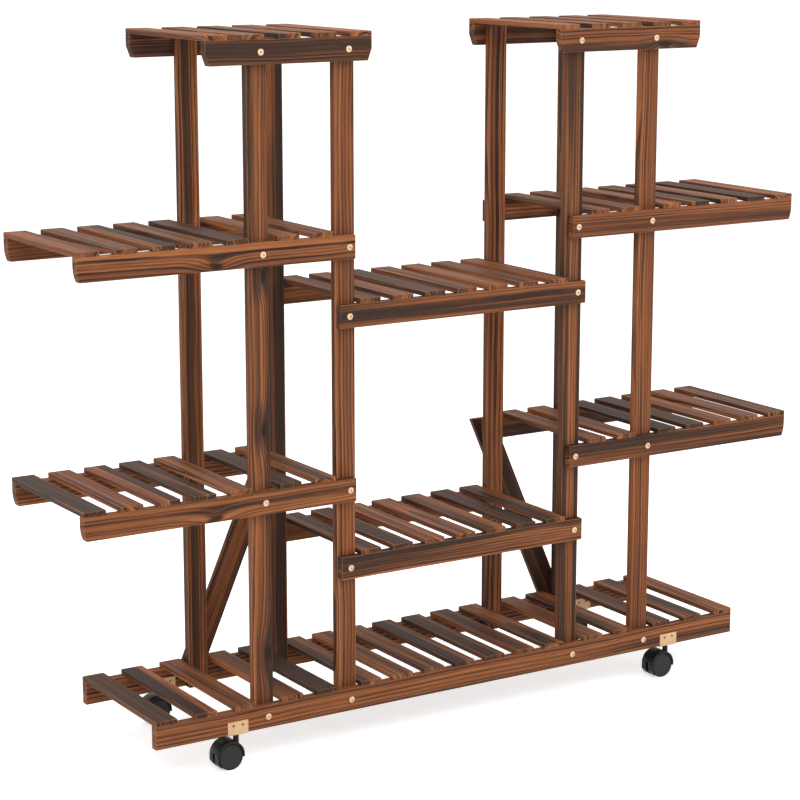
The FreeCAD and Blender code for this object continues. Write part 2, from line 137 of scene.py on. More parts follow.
def splitVector(tree, socket):
    parts = addNode(tree, "ShaderNodeSeparateXYZ", {"Vector": socket})
    return [Field(tree, output) for output in parts.outputs]


def joinVector(tree, x, y, z):
    return addNode(tree, "ShaderNodeCombineXYZ", {"X": x, "Y": y, "Z": z}).outputs[0]


def blendColour(tree, share, first, second, mode="MIX"):
    node = addNode(tree, "ShaderNodeMix", data_type="RGBA", blend_type=mode)
    connect(tree, share, node.inputs[0])
    connect(tree, first, node.inputs[6])
    connect(tree, second, node.inputs[7])
    return node.outputs[2]


def colour(red, green, blue):
    # a colour as a picture shows it, out of 255, made linear
    def linear(value):
        value /= 255
        return value / 12.92 if value <= 0.04045 else ((value + 0.055) / 1.055) ** 2.4
    return (linear(red), linear(green), linear(blue), 1.0)


def newFinish(name):
    material = bpy.data.materials.new(name)
    material.use_nodes = True
    tree = material.node_tree
    return material, tree, tree.nodes["Principled BSDF"]


# finishes

timber = {
    "pale": colour(166, 103, 62),
    "middle": colour(123, 72, 43),
    "late": colour(51, 32, 25),
    "char": colour(54, 39, 32),
    "knot": colour(40, 29, 24),
    "rubbed": colour(182, 128, 92),
    "ringPitch": 6.4 * mm,
    "wander": 16 * mm,         # how far the rings stray along a board
    "wobble": 3.6 * mm,        # and how far a single line wavers
    "knotNames": ("knot", "secondKnot", "thirdKnot"),
    "knotShape": 0.42,         # width of a knot over its length
    "knotReach": 2.2,          # how far off it bends the rings, in its own sizes
    "knotPush": 1.6,           # and how far it moves them
    "stripeSway": 10 * mm,
    "stripeEdge": 0.7 * mm,
    "relief": 0.4 * mm,
    "gloss": 0.14,
    # noise along and across the grain: scales, detail and roughness
    "patterns": {
        "sway": (2.4, 7.0, 1.0, 0.5),
        "ragged": (60.0, 160.0, 2.0, 0.5),
        "waver": (11.0, 34.0, 2.0, 0.5),
        "fading": (6.0, 55.0, 2.0, 0.5),
        "streak": (1.1, 70.0, 3.0, 0.55),
        "fibre": (22.0, 1100.0, 2.0, 0.5),
        "fleck": (70.0, 1500.0, 1.0, 0.5),
        "scorch": (0.8, 26.0, 3.0, 0.55),
        "wear": (9.0, 30.0, 3.0, 0.5),
    },
}


def timberFinish():
    material, tree, shader = newFinish("carbonisedSoftwood")

    def attribute(name):
        return addNode(tree, "ShaderNodeAttribute", attribute_name=name)

    along, across, through = splitVector(tree, attribute("grain").outputs["Vector"])
    heartAcross, heartThrough, seed = splitVector(tree, attribute("log").outputs["Vector"])
    stripeMiddle, stripeHalf, burn = splitVector(tree, attribute("scorch").outputs["Vector"])

    def noise(pattern):
        alongScale, acrossScale, detail, roughness = timber["patterns"][pattern]
        # the seed moves each board to its own part of the noise
        place = joinVector(
            tree, (along + seed * 1.7) * alongScale, (across + seed * 0.31) * acrossScale,
            (through + seed * 0.53) * acrossScale,
        )
        inputs = {"Vector": place, "Scale": 1.0, "Detail": detail, "Roughness": roughness}
        return addNode(tree, "ShaderNodeTexNoise", inputs).outputs

    def noiseField(pattern):
        return Field(tree, noise(pattern)[0])

    ragged = noiseField("ragged")

    def knotFields(name):
        # how near a knot is, how far it pushes the rings aside and how much of its own wood shows
        knotAlong, knotAcross, size = splitVector(tree, attribute(name).outputs["Vector"])
        offAlong = (along - knotAlong) * timber["knotShape"]
        reach = (offAlong ** 2.0 + (across - knotAcross) ** 2.0) ** 0.5
        near = ((reach / (size * timber["knotReach"])) ** 2.0 * -1.0).math("EXPONENT")
        shown = (reach / size + (ragged - 0.5) * 1.2).ramp(0.4, 1.05, 0.95, 0.0)
        return near, near * size * timber["knotPush"], shown

    knots = [knotFields(name) for name in timber["knotNames"]]
    bulge, push, core = knots[0]
    for near, pushed, shown in knots[1:]:
        bulge, push, core = bulge + near, push + pushed, core.math("MAXIMUM", shown)

    # growth rings about the heart of the log, pushed aside round the knots
    sway = splitVector(tree, noise("sway")["Color"])
    offAcross = across - heartAcross + (sway[0] - 0.5) * timber["wander"]
    offThrough = through - heartThrough + (sway[1] - 0.5) * timber["wander"]
    radius = (offAcross ** 2.0 + offThrough ** 2.0) ** 0.5 + push
    radius = radius + (noiseField("waver") - 0.5) * timber["wobble"]
    uneven = addNode(
        tree, "ShaderNodeTexNoise", {"W": radius * 75.0 + seed * 9.0, "Scale": 1.0, "Detail": 1.0},
        noise_dimensions="1D",
    )
    phase = radius / timber["ringPitch"] + Field(tree, uneven.outputs[0]) * 2.4
    ring, rise = phase.math("FLOOR"), phase.math("FRACT")
    lottery = addNode(
        tree, "ShaderNodeTexWhiteNoise", {"W": ring * 1.37 + seed * 11.0}, noise_dimensions="1D",
    )
    ringTone = Field(tree, lottery.outputs["Value"])
    fading = noiseField("fading").ramp(0.3, 0.6, 0.6, 1.1)
    late = rise.ramp(0.2, 0.85) * rise.ramp(0.92, 1.0, 1.0, 0.0) * (ringTone * 0.6 + 0.48) * fading
    early = rise.ramp(0.05, 0.72, 1.0, 0.0)

    # long streaks, fine fibres and scorched stripes
    streak = noiseField("streak").ramp(0.34, 0.66)
    fibre = noiseField("fibre")
    fleck = noiseField("fleck").ramp(0.58, 0.7)
    threshold = burn * -0.5 + 0.75 - bulge * 0.12
    patches = (noiseField("scorch") - threshold).ramp(-0.06, 0.06)
    fromStripe = (across - stripeMiddle + (sway[2] - 0.5) * timber["stripeSway"]).math("ABSOLUTE")
    stripe = (stripeHalf - fromStripe).ramp(-timber["stripeEdge"], timber["stripeEdge"])
    spared = early * ringTone     # the softest wood chars least
    charred = (patches * (spared * -0.62 + 0.97)).math("MAXIMUM", stripe * (spared * -0.25 + 0.95))

    wood = blendColour(tree, streak, timber["middle"], timber["pale"])
    wood = blendColour(tree, late, wood, timber["late"])
    wood = blendColour(tree, charred, wood, timber["char"])
    wood = blendColour(tree, core, wood, timber["knot"])
    edge = Field(tree, attribute("edge").outputs["Fac"]).ramp(0.2, 0.9)
    worn = edge * noiseField("wear").ramp(0.35, 0.6, 0.15, 0.7)
    wood = blendColour(tree, worn, wood, timber["rubbed"])
    shade = fibre.ramp(0.3, 0.7, 0.8, 1.12) - fleck * 0.16
    wood = blendColour(tree, 1.0, wood, joinVector(tree, shade, shade, shade), "MULTIPLY")
    connect(tree, wood, shader.inputs["Base Color"])
    connect(tree, late * -0.1 + fibre * 0.15 + 0.54, shader.inputs["Roughness"])
    relief = late * 0.7 + fibre * 0.5 - charred * 0.2 - fleck * 0.3
    bump = addNode(
        tree, "ShaderNodeBump", {"Strength": 0.35, "Distance": timber["relief"], "Height": relief},
    )
    connect(tree, bump.outputs[0], shader.inputs["Normal"])
    shader.inputs["Specular IOR Level"].default_value = timber["gloss"]
    return material


metal = {
    "drawnScale": 900.0,
    "drawnStretch": (0.06, 1.0, 1.0),
    "cloudScale": 60.0,
    "uneven": 0.16,      # spread of the roughness
    "relief": 0.1 * mm,
}


def metalFinish(name, tint, dark, roughness, metallic=1.0, paintedShadeTint=None):
    # plated or bare steel, drawn and a little cloudy, with painted shade where the mesh marks a rim
    material, tree, shader = newFinish(name)
    place = addNode(tree, "ShaderNodeTexCoord").outputs["Object"]

    def noise(vector, scale, detail):
        inputs = {"Vector": vector, "Scale": scale, "Detail": detail}
        return Field(tree, addNode(tree, "ShaderNodeTexNoise", inputs).outputs[0])

    stretch = addNode(tree, "ShaderNodeMapping", {"Vector": place, "Scale": metal["drawnStretch"]})
    lines = noise(stretch.outputs[0], metal["drawnScale"], 2.0)
    patches = noise(place, metal["cloudScale"], 3.0)
    shown = blendColour(tree, patches.ramp(0.3, 0.75), tint, dark)
    # painted shade: a darker tint towards the rim of a bolt's dome and on the floor of its socket,
    # standing in for shading
    if paintedShadeTint:
        rim = addNode(tree, "ShaderNodeAttribute", attribute_name="rim").outputs["Fac"]
        shown = blendColour(tree, rim, shown, paintedShadeTint)
    connect(tree, shown, shader.inputs["Base Color"])
    rough = lines * metal["uneven"] + (roughness - metal["uneven"] / 2)
    connect(tree, rough, shader.inputs["Roughness"])
    bump = addNode(
        tree, "ShaderNodeBump", {"Strength": 0.1, "Distance": metal["relief"], "Height": lines},
    )
    connect(tree, bump.outputs[0], shader.inputs["Normal"])
    shader.inputs["Metallic"].default_value = metallic
    return material


plastic = {
    "sparkScale": 2600.0,
    "scuffScale": 120.0,
    "uneven": 0.18,      # spread of the roughness
    "relief": 0.1 * mm,
    "gloss": 0.26,
}


def plasticFinish(name, tint, worn, roughness, faceTint=None):
    # moulded nylon with a fine spark texture and scuffs, and a paler face where the mesh marks one
    material, tree, shader = newFinish(name)
    place = addNode(tree, "ShaderNodeTexCoord").outputs["Object"]

    def noise(scale, detail):
        inputs = {"Vector": place, "Scale": scale, "Detail": detail}
        return Field(tree, addNode(tree, "ShaderNodeTexNoise", inputs).outputs[0])

    pits = noise(plastic["sparkScale"], 1.0)
    marks = noise(plastic["scuffScale"], 4.0)
    shown = blendColour(tree, marks.ramp(0.45, 0.75), tint, worn)
    if faceTint:
        face = addNode(tree, "ShaderNodeAttribute", attribute_name="face").outputs["Fac"]
        shown = blendColour(tree, face, shown, faceTint)
    connect(tree, shown, shader.inputs["Base Color"])
    rough = marks * plastic["uneven"] + (roughness - plastic["uneven"] / 2)
    connect(tree, rough, shader.inputs["Roughness"])
    bump = addNode(
        tree, "ShaderNodeBump", {"Strength": 0.2, "Distance": plastic["relief"], "Height": pits},
    )
    connect(tree, bump.outputs[0], shader.inputs["Normal"])
    shader.inputs["Specular IOR Level"].default_value = plastic["gloss"]
    return material


woodFinish = timberFinish()
# the last colour is painted shade for the rims and sockets of the bolt heads
boltFinish = metalFinish(
    "paleGoldPlating", colour(238, 212, 182), colour(218, 184, 148), 0.38, 0.5, colour(168, 126, 88),
)
bracketFinish = metalFinish(
    "yellowZincPlating", colour(215, 177, 135), colour(202, 164, 121), 0.55, 0.35,
)
screwFinish = metalFinish("bronzedScrewSteel", colour(134, 98, 54), colour(104, 74, 40), 0.5, 0.6)
steelFinish = metalFinish("brightZinc", colour(196, 196, 196), colour(168, 168, 170), 0.35)
hoodFinish = plasticFinish("hoodNylon", colour(9, 9, 9), colour(14, 14, 13), 0.44)
wheelFinish = plasticFinish(
    "wheelNylon", colour(8, 8, 8), colour(13, 13, 12), 0.44, colour(34, 34, 32),
)
print("finishes made")


# boards: eased edges, with their own coordinates kept for the grain

board = {
    "ease": 0.9 * mm,
    "easeSteps": 2,
    "sharp": math.radians(25),          # edges with a larger turn are eased
    "farHeart": (34 * mm, 95 * mm),     # distance of the log's heart to the side
    "deepHeart": (-28 * mm, 28 * mm),   # and through the board
    "logSeed": (0, 40),
    "noKnot": (9.0, 9.0, 5 * mm),       # far off the board
    "noStripe": (0.0, -1.0),            # the middle and half width of a scorched stripe
    "seed": 41,
}
draw = random.Random(board["seed"])


def setAttribute(mesh, name, kind, values):
    attribute = mesh.attributes.new(name, kind, "POINT")
    attribute.data.foreach_set("vector" if kind == "FLOAT_VECTOR" else "value", values)


def boardMesh(name, outline, thickness):
    # an outline along (x) and across (y) the grain, given its thickness and eased edges
    shape = bmesh.new()
    rims = [
        [shape.verts.new((x, y, side * thickness / 2)) for x, y in outline] for side in (-1, 1)
    ]
    shape.faces.new(reversed(rims[0]))
    shape.faces.new(rims[1])
    count = len(outline)
    for index in range(count):
        after = (index + 1) % count
        shape.faces.new((rims[0][index], rims[0][after], rims[1][after], rims[1][index]))
    shape.normal_update()
    sharp = [edge for edge in shape.edges if edge.calc_face_angle() > board["sharp"]]
    eased = bmesh.ops.bevel(
        shape, geom=sharp, offset=board["ease"], segments=board["easeSteps"], profile=0.5,
        affect="EDGES",
    )
    # the crest of an eased edge touches no flat face
    easedFaces = set(eased["faces"])
    crests = [float(easedFaces.issuperset(vertex.link_faces)) for vertex in shape.verts]
    mesh = bpy.data.meshes.new(name)
    shape.to_mesh(mesh)
    shape.free()
    places = [value for vertex in mesh.vertices for value in vertex.co]
    setAttribute(mesh, "grain", "FLOAT_VECTOR", places)
    setAttribute(mesh, "edge", "FLOAT", crests)
    return mesh


def randomLog():
    # how far the heart lies across and through the board, and a seed
    side = draw.choice((-1, 1))
    across = side * draw.uniform(*board["farHeart"])
    return across, draw.uniform(*board["deepHeart"]), draw.uniform(*board["logSeed"])


def placeBoard(
    nodeName, mesh, along, across, centre, burn, knots=(), stripe=None, log=None,
):
    # along and across are the directions of the grain and of the board's width
    along, across = Vector(along).normalized(), Vector(across).normalized()
    turn = Matrix((along, across, along.cross(across))).transposed().to_4x4()
    count = len(mesh.vertices)
    setAttribute(mesh, "log", "FLOAT_VECTOR", list(log or randomLog()) * count)
    knotRows = [*knots, *[board["noKnot"]] * len(timber["knotNames"])]
    for name, knot in zip(timber["knotNames"], knotRows):
        setAttribute(mesh, name, "FLOAT_VECTOR", list(knot) * count)
    setAttribute(mesh, "scorch", "FLOAT_VECTOR", [*(stripe or board["noStripe"]), burn] * count)
    mesh.transform(Matrix.Translation(centre) @ turn)
    mesh.materials.append(woodFinish)
    piece = bpy.data.objects.new(nodeName + "_board", mesh)
    scene.collection.objects.link(piece)
    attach(piece, "frame")
    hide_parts(nodeName)


# rails: square, chamfered or gently curved at the ends

rail = {
    "chamfer": (6.5 * mm, 17 * mm),   # run along the rail, rise up its end
    "curve": (4.5 * mm, 22 * mm),
    "curveSteps": 10,
    "ends": {"top": ("chamfer", "chamfer"), "left": ("curve", "square"), "right": ("square", "curve")},
    "burn": {"top": 0.62, "left": 0.28, "right": 0.56, "middle": 0.5, "base": 0.42},
    "burnOfOne": {
        "rail_top_right_front": 0.22, "rail_upper_right_front": 0.48, "rail_upper_middle_front": 0.44,
        "rail_lower_middle_front": 0.58,
    },
    "knots": {
        "rail_upper_left_front": ((-0.009, -0.011, 6.5 * mm),),
        "rail_lower_left_front": ((-0.014, -0.012, 7 * mm),),
        "rail_top_right_front": ((0.066, -0.011, 6.5 * mm),),
    },
    "stripes": {
        "rail_top_right_front": (-17 * mm, 3.5 * mm),
    },
}


def lowerCorner(kind, height):
    # points from the end of a rail down to its lower edge, measured in from the end
    if kind == "square":
        return [(0, -height / 2)]
    run, rise = rail[kind]
    if kind == "chamfer":
        return [(0, rise - height / 2), (run, -height / 2)]
    bend = (run * run + rise * rise) / (2 * run)
    sweep = math.asin(rise / bend)
    turns = [sweep * step / rail["curveSteps"] for step in range(rail["curveSteps"] + 1)]
    return [(bend - bend * math.cos(a), rise - bend * math.sin(a) - height / 2) for a in turns]


def makeRail(nodeName):
    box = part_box(nodeName)
    length, thickness, height = sizeOf(box)
    words = nodeName.split("_")
    family = "top" if "top" in words else words[-2]
    left, right = rail["ends"].get(family, ("square", "square"))
    outline = [(x - length / 2, y) for x, y in lowerCorner(left, height)]
    outline += [(length / 2 - x, y) for x, y in reversed(lowerCorner(right, height))]
    outline += [(length / 2, height / 2), (-length / 2, height / 2)]
    mesh = boardMesh(nodeName, outline, thickness)
    burn = rail["burnOfOne"].get(nodeName, rail["burn"][family])
    placeBoard(
        nodeName, mesh, (1, 0, 0), (0, 0, 1), middleOf(box), burn,
        rail["knots"].get(nodeName, ()), rail["stripes"].get(nodeName),
    )


for nodeName in sorted(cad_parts):
    if nodeName.startswith("rail_"):
        makeRail(nodeName)
print("rails made")


# posts

post = {
    "burn": {
        "front_outer_left": 0.52, "front_inner_left": 0.2,
        "front_inner_right": 0.36, "front_outer_right": 0.2,
        "back_outer_left": 0.2, "back_inner_left": 0.55,
        "back_inner_right": 0.38, "back_outer_right": 0.4,
    },
    "knots": {
        "post_front_outer_left": (
            (0.17, 0.007, 6 * mm), (-0.055, 0.006, 6.5 * mm), (-0.396, 0.009, 7 * mm),
        ),
    },
    "stripes": {
        "post_back_outer_left": (-3.8 * mm, 6.5 * mm),
        "post_back_inner_left": (8.5 * mm, 5.5 * mm),
        "post_front_inner_right": (12 * mm, 3.5 * mm),
    },
    # where the heart of the log lies, across and through the board, and a seed
    "logs": {
        "post_front_outer_left": (-36 * mm, 20 * mm, 5.0),
        "post_front_inner_left": (-62 * mm, 6 * mm, 3.0),
        "post_front_inner_right": (-54 * mm, 10 * mm, 29.0),
        "post_front_outer_right": (58 * mm, -8 * mm, 8.0),
    },
}


def rectangle(length, width):
    x, y = length / 2, width / 2
    return [(-x, -y), (x, -y), (x, y), (-x, y)]


for nodeName in sorted(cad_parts):
    if nodeName.startswith("post_"):
        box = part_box(nodeName)
        width, depth, length = sizeOf(box)
        burn = post["burn"][nodeName[len("post_"):]]
        placeBoard(
            nodeName, boardMesh(nodeName, rectangle(length, width), depth),
            (0, 0, 1), (1, 0, 0), middleOf(box), burn, post["knots"].get(nodeName, ()),
            post["stripes"].get(nodeName), post["logs"].get(nodeName),
        )
print("posts made")


# braces: sloping boards with level ends

brace = {
    "width": 40 * mm,
    "rounds": 20,     # of finding the run, which settles well before the last
    "burn": {"brace_left": 0.5, "brace_right": 1.1},
    "stripes": {"brace_right": (0.0, 30 * mm)},
}


def makeBrace(nodeName, hand):
    low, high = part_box(nodeName)
    thickness, rise = high.y - low.y, high.z - low.z
    span = high.x - low.x
    # the level ends are as wide as the board is across its slope
    run = span
    for _ in range(brace["rounds"]):
        run = span - brace["width"] * math.hypot(run, rise) / rise
    along = Vector((-hand * run, 0, rise)).normalized()
    across = Vector((rise, 0, hand * run)).normalized()
    half = (span - run) / 2
    centre = (low + high) / 2
    corners = [
        Vector((hand * run / 2 - half, 0, -rise / 2)), Vector((hand * run / 2 + half, 0, -rise / 2)),
        Vector((-hand * run / 2 + half, 0, rise / 2)), Vector((-hand * run / 2 - half, 0, rise / 2)),
    ]
    outline = [(corner.dot(along), corner.dot(across)) for corner in corners]
    mesh = boardMesh(nodeName, outline[::-1], thickness)
    placeBoard(
        nodeName, mesh, along, across, centre, brace["burn"][nodeName],
        stripe=brace["stripes"].get(nodeName),
    )


makeBrace("brace_left", -1)
makeBrace("brace_right", 1)
print("braces made")


# repeating pieces: geometry nodes set a part at each point of a host mesh

def repeatTree(name, withLog):
    tree = bpy.data.node_groups.new(name, "GeometryNodeTree")
    sockets = [
        ("Points", "INPUT", "NodeSocketGeometry"),
        ("part", "INPUT", "NodeSocketObject"),
        ("finish", "INPUT", "NodeSocketMaterial"),
    ]
    if withLog:
        sockets += [
            ("heartLeast", "INPUT", "NodeSocketVector"),
            ("heartMost", "INPUT", "NodeSocketVector"),
            ("seed", "INPUT", "NodeSocketInt"),
        ]
    sockets.append(("Pieces", "OUTPUT", "NodeSocketGeometry"))
    for label, way, kind in sockets:
        tree.interface.new_socket(name=label, in_out=way, socket_type=kind)
    given = addNode(tree, "NodeGroupInput").outputs
    points = given["Points"]
    if withLog:
        # each copy is sawn from its own log
        sawn = addNode(
            tree, "FunctionNodeRandomValue",
            {"Min": given["heartLeast"], "Max": given["heartMost"], "Seed": given["seed"]},
            data_type="FLOAT_VECTOR",
        )
        stored = addNode(
            tree, "GeometryNodeStoreNamedAttribute",
            {"Geometry": points, "Name": "log", "Value": sawn.outputs[0]},
            data_type="FLOAT_VECTOR", domain="POINT",
        )
        points = stored.outputs[0]
    facing = addNode(
        tree, "GeometryNodeInputNamedAttribute", {"Name": "facing"}, data_type="FLOAT_VECTOR",
    )
    turn = addNode(tree, "FunctionNodeEulerToRotation", {"Euler": facing.outputs[0]})
    part = addNode(tree, "GeometryNodeObjectInfo", {"Object": given["part"], "As Instance": True})
    copies = addNode(
        tree, "GeometryNodeInstanceOnPoints",
        {"Points": points, "Instance": part.outputs["Geometry"], "Rotation": turn.outputs[0]},
    )
    whole = addNode(tree, "GeometryNodeRealizeInstances", {"Geometry": copies.outputs[0]})
    finished = addNode(
        tree, "GeometryNodeSetMaterial", {"Geometry": whole.outputs[0], "Material": given["finish"]},
    )
    output = addNode(tree, "NodeGroupOutput")
    tree.links.new(finished.outputs[0], output.inputs[0])
    return tree


plainRepeat = repeatTree("repeatPart", False)
slatRepeat = repeatTree("layOutSlats", True)


def repeatPart(pieceName, tree, places, facings, partMesh, values, extras=None):
    # runs the tree on a host of points and keeps the result as a plain mesh
    part = bpy.data.objects.new(pieceName + "_part", partMesh)
    scene.collection.objects.link(part)
    host = bpy.data.meshes.new(pieceName + "_places")
    host.from_pydata([tuple(place) for place in places], [], [])
    setAttribute(host, "facing", "FLOAT_VECTOR", [value for facing in facings for value in facing])
    for name, rows in (extras or {}).items():
        setAttribute(host, name, "FLOAT_VECTOR", rows)
    piece = bpy.data.objects.new(pieceName, host)
    scene.collection.objects.link(piece)
    modifier = piece.modifiers.new("repeat", "NODES")
    modifier.node_group = tree
    inputs = [item for item in tree.interface.items_tree if item.in_out == "INPUT"]
    identifiers = {item.name: item.identifier for item in inputs}
    for label, value in {"part": part, **values}.items():
        modifier[identifiers[label]] = value
    bpy.context.view_layer.update()
    evaluated = piece.evaluated_get(bpy.context.evaluated_depsgraph_get())
    mesh = bpy.data.meshes.new_from_object(evaluated)
    piece.modifiers.clear()
    piece.data = mesh
    bpy.data.objects.remove(part)
    return piece


# slats: one piece for each shelf. Some boards came out of the flame darker than others.

slats = {
    "heartLeast": (-90 * mm, -45 * mm, 0.0),
    "heartMost": (90 * mm, 45 * mm, 40.0),
    "burn": {
        "base": (
            0.92, 0.45, 0.15, 0.4, 0.85, 0.4, 0.3, 0.45, 0.75, 0.9, 0.35, 0.25, 0.3, 0.55, 0.8, 0.3, 0.2,
        ),
        "lower_middle": (0.85, 0.4, 0.2, 0.35, 0.35, 0.85, 0.3),
        "upper_middle": (0.35, 0.5, 0.45, 0.4, 0.3, 0.35, 0.25),
        "lower_left": (0.9, 0.2, 0.2, 0.6, 0.2, 0.8, 0.35),
        "upper_left": (0.2, 0.3, 0.3, 0.25, 0.8, 0.35, 0.3),
        "lower_right": (0.3, 0.3, 0.8, 0.8, 0.3, 0.4, 0.45),
        "upper_right": (0.35, 0.2, 0.3, 0.6, 0.35, 0.8, 0.25),
        "top_left": (0.2, 0.3, 0.45, 0.4, 0.3),
        "top_right": (0.35, 0.3, 0.4, 0.35, 0.3),
    },
    # boards scorched along one side, as (place in the row, middle and half width of the stripe)
    "stripes": {
        "base": ((1, 7 * mm, 9 * mm), (8, 6 * mm, 8 * mm)),
        "lower_middle": ((1, 8 * mm, 9 * mm), (6, 9 * mm, 8 * mm)),
        "lower_left": ((2, -9 * mm, 9 * mm),),
        "upper_left": ((2, -6 * mm, 10 * mm),),
    },
    "facing": (0.0, 0.0, math.pi / 2),   # the grain runs from front to back
    "seed": 7,
}
for order, (shelf, burns) in enumerate(slats["burn"].items()):
    nodeName = "slats_" + shelf
    boxes = solidBoxes(nodeName)
    width, length, thickness = sizeOf(boxes[0])
    mesh = boardMesh(nodeName, rectangle(length, width), thickness)
    scorched = [[*board["noStripe"], burn] for burn in burns]
    for place, middle, half in slats["stripes"].get(shelf, ()):
        scorched[place][:2] = middle, half
    values = {
        "finish": woodFinish,
        "heartLeast": slats["heartLeast"],
        "heartMost": slats["heartMost"],
        "seed": slats["seed"] + order,
    }
    extras = dict.fromkeys(timber["knotNames"], list(board["noKnot"]) * len(boxes))
    extras["scorch"] = [value for row in scorched for value in row]
    piece = repeatPart(
        nodeName + "_boards", slatRepeat, [middleOf(box) for box in boxes],
        [slats["facing"]] * len(boxes), mesh, values, extras,
    )
    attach(piece, "frame")
    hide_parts(nodeName)
print("slats made")


# turned pieces

turned = {"sharp": math.radians(35)}     # edges with a smaller turn look smooth


def latheMesh(name, profile, steps):
    # the profile is spun about an axis: each point is (radius, height), or gives them for an angle
    shape = bmesh.new()
    turns = [2 * math.pi * step / steps for step in range(steps)]
    rings = []
    for point in profile:
        if not callable(point) and point[0] == 0:
            rings.append([shape.verts.new((0, 0, point[1]))])
            continue
        ring = []
        for a in turns:
            radius, height = point(a) if callable(point) else point
            ring.append(shape.verts.new((radius * math.cos(a), radius * math.sin(a), height)))
        rings.append(ring)
    for lower, upper in zip(rings, rings[1:]):
        for step in range(steps):
            after = (step + 1) % steps
            corners = [lower[step % len(lower)], lower[after % len(lower)],
                       upper[after % len(upper)], upper[step % len(upper)]]
            shape.faces.new(list(dict.fromkeys(corners)))
    bmesh.ops.recalc_face_normals(shape, faces=shape.faces)
    for face in shape.faces:
        face.smooth = True
    mesh = bpy.data.meshes.new(name)
    shape.to_mesh(mesh)
    shape.free()
    mesh.set_sharp_from_angle(angle=turned["sharp"])
    return mesh


def arcPoints(centre, radius, start, end, steps):
    turns = [math.radians(start + (end - start) * step / steps) for step in range(steps + 1)]
    return [(centre[0] + radius * math.cos(a), centre[1] + radius * math.sin(a)) for a in turns]


# bolts: domed heads outside the rails, each with a hexagon socket, on a shank into the posts

bolt = {
    "headHeight": 2.6 * mm,
    "rim": 0.9 * mm,
    "shank": 3 * mm,
    "socketAcross": 4 * mm,   # over the flats
    "socketDepth": 1.8 * mm,
    "socketLip": 0.12 * mm,
    "soft": 0.25 * mm,
    "domeSteps": 6,
    "steps": 48,              # a multiple of six, for the corners of the socket
    "paintedRimShade": 5,             # how closely the painted shade keeps to the rim
    # painted shade on the floor of the socket
    "paintedSocketShade": 0.5,
}


def boltMesh(name, headRadius, tip):
    # the axis points into the rail, with the seat of the head at zero
    dome = bolt["headHeight"] - bolt["rim"]
    ball = (headRadius ** 2 + dome ** 2) / (2 * dome)
    lip, soft = bolt["socketLip"], bolt["soft"]
    floor = bolt["socketDepth"] - bolt["headHeight"]

    def onDome(radius):
        return (radius, ball - bolt["headHeight"] - math.sqrt(ball ** 2 - radius ** 2))

    def hexagon(turn):
        return bolt["socketAcross"] / 2 / math.cos(turn % (math.pi / 3) - math.pi / 6)

    profile = [
        (0, floor),
        lambda turn: (hexagon(turn), floor),
        lambda turn: (hexagon(turn), onDome(hexagon(turn))[1] + lip),
        lambda turn: onDome(hexagon(turn) + lip),
    ]
    first = bolt["socketAcross"] / math.sqrt(3) + 2 * lip    # just outside the corners
    spread = [step / bolt["domeSteps"] for step in range(bolt["domeSteps"] + 1)]
    profile += [onDome(first + (headRadius - first) * share) for share in spread]
    profile += [(headRadius, -soft), (headRadius - soft, 0.0), (bolt["shank"], 0.0)]
    profile += [(bolt["shank"], tip - soft), (bolt["shank"] - soft, tip), (0, tip)]
    mesh = latheMesh(name, profile, bolt["steps"])
    # painted shade: darker towards the rim of the dome, and a set share on the floor of the socket
    paintedRimShade = [(vertex.co.xy.length / headRadius) ** bolt["paintedRimShade"] for vertex in mesh.vertices]
    for vertex in mesh.vertices:
        if abs(vertex.co.z - floor) < nearlySame:
            paintedRimShade[vertex.index] = bolt["paintedSocketShade"]
    setAttribute(mesh, "rim", "FLOAT", paintedRimShade)
    return mesh


def makeBolts(nodeName, seat):
    # the heads sit on faces at this distance from the middle of the stand
    boxes = solidBoxes(nodeName)
    tip = seat - min(abs(boxes[0][0].y), abs(boxes[0][1].y))
    mesh = boltMesh(nodeName, sizeOf(boxes[0]).x / 2, tip)
    places, facings = [], []
    for box in boxes:
        centre = middleOf(box)
        side = -1 if centre.y < 0 else 1
        places.append((centre.x, side * seat, centre.z))
        facings.append((side * math.pi / 2, 0, 0))
    piece = repeatPart(nodeName + "_turned", plainRepeat, places, facings, mesh, {"finish": boltFinish})
    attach(piece, "frame")
    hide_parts(nodeName)


makeBolts("frame_bolts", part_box("rail_base_back")[1].y)
makeBolts("brace_bolts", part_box("brace_left")[1].y)
print("bolts made")


# castor brackets: folded sheet round the lower edge of a base rail

bracket = {
    "sheet": 1.2 * mm,
    "bend": 2.0 * mm,
    "bendSteps": 6,
    "ease": 0.2 * mm,
    "easeSteps": 2,
    "sharp": math.radians(60),
}


def bracketMesh(name, size):
    width, depth, height = size
    sheet, bend = bracket["sheet"], bracket["bend"]

    def fold(inset, radius):
        # one side of the sheet from the front flange's top round to the back flange's top
        y, z = depth / 2 - inset, -height / 2 + inset
        front = arcPoints((-y + radius, z + radius), radius, 180, 270, bracket["bendSteps"])
        back = arcPoints((y - radius, z + radius), radius, 270, 360, bracket["bendSteps"])
        return [(-y, height / 2), *front, *back, (y, height / 2)]

    section = fold(0, bend) + fold(sheet, bend - sheet)[::-1]
    shape = bmesh.new()
    rims = [[shape.verts.new((side * width / 2, y, z)) for y, z in section] for side in (-1, 1)]
    count = len(section)
    for index in range(count):
        after = (index + 1) % count
        shape.faces.new((rims[0][index], rims[0][after], rims[1][after], rims[1][index]))
    half = count // 2
    for rim in rims:
        for index in range(half - 1):
            shape.faces.new((rim[index], rim[index + 1], rim[count - 2 - index], rim[count - 1 - index]))
    bmesh.ops.recalc_face_normals(shape, faces=shape.faces)
    corners = [edge for edge in shape.edges if edge.calc_face_angle() > bracket["sharp"]]
    bmesh.ops.bevel(
        shape, geom=corners, offset=bracket["ease"], segments=bracket["easeSteps"], profile=0.5,
        affect="EDGES",
    )
    mesh = bpy.data.meshes.new(name)
    shape.to_mesh(mesh)
    shape.free()
    return mesh


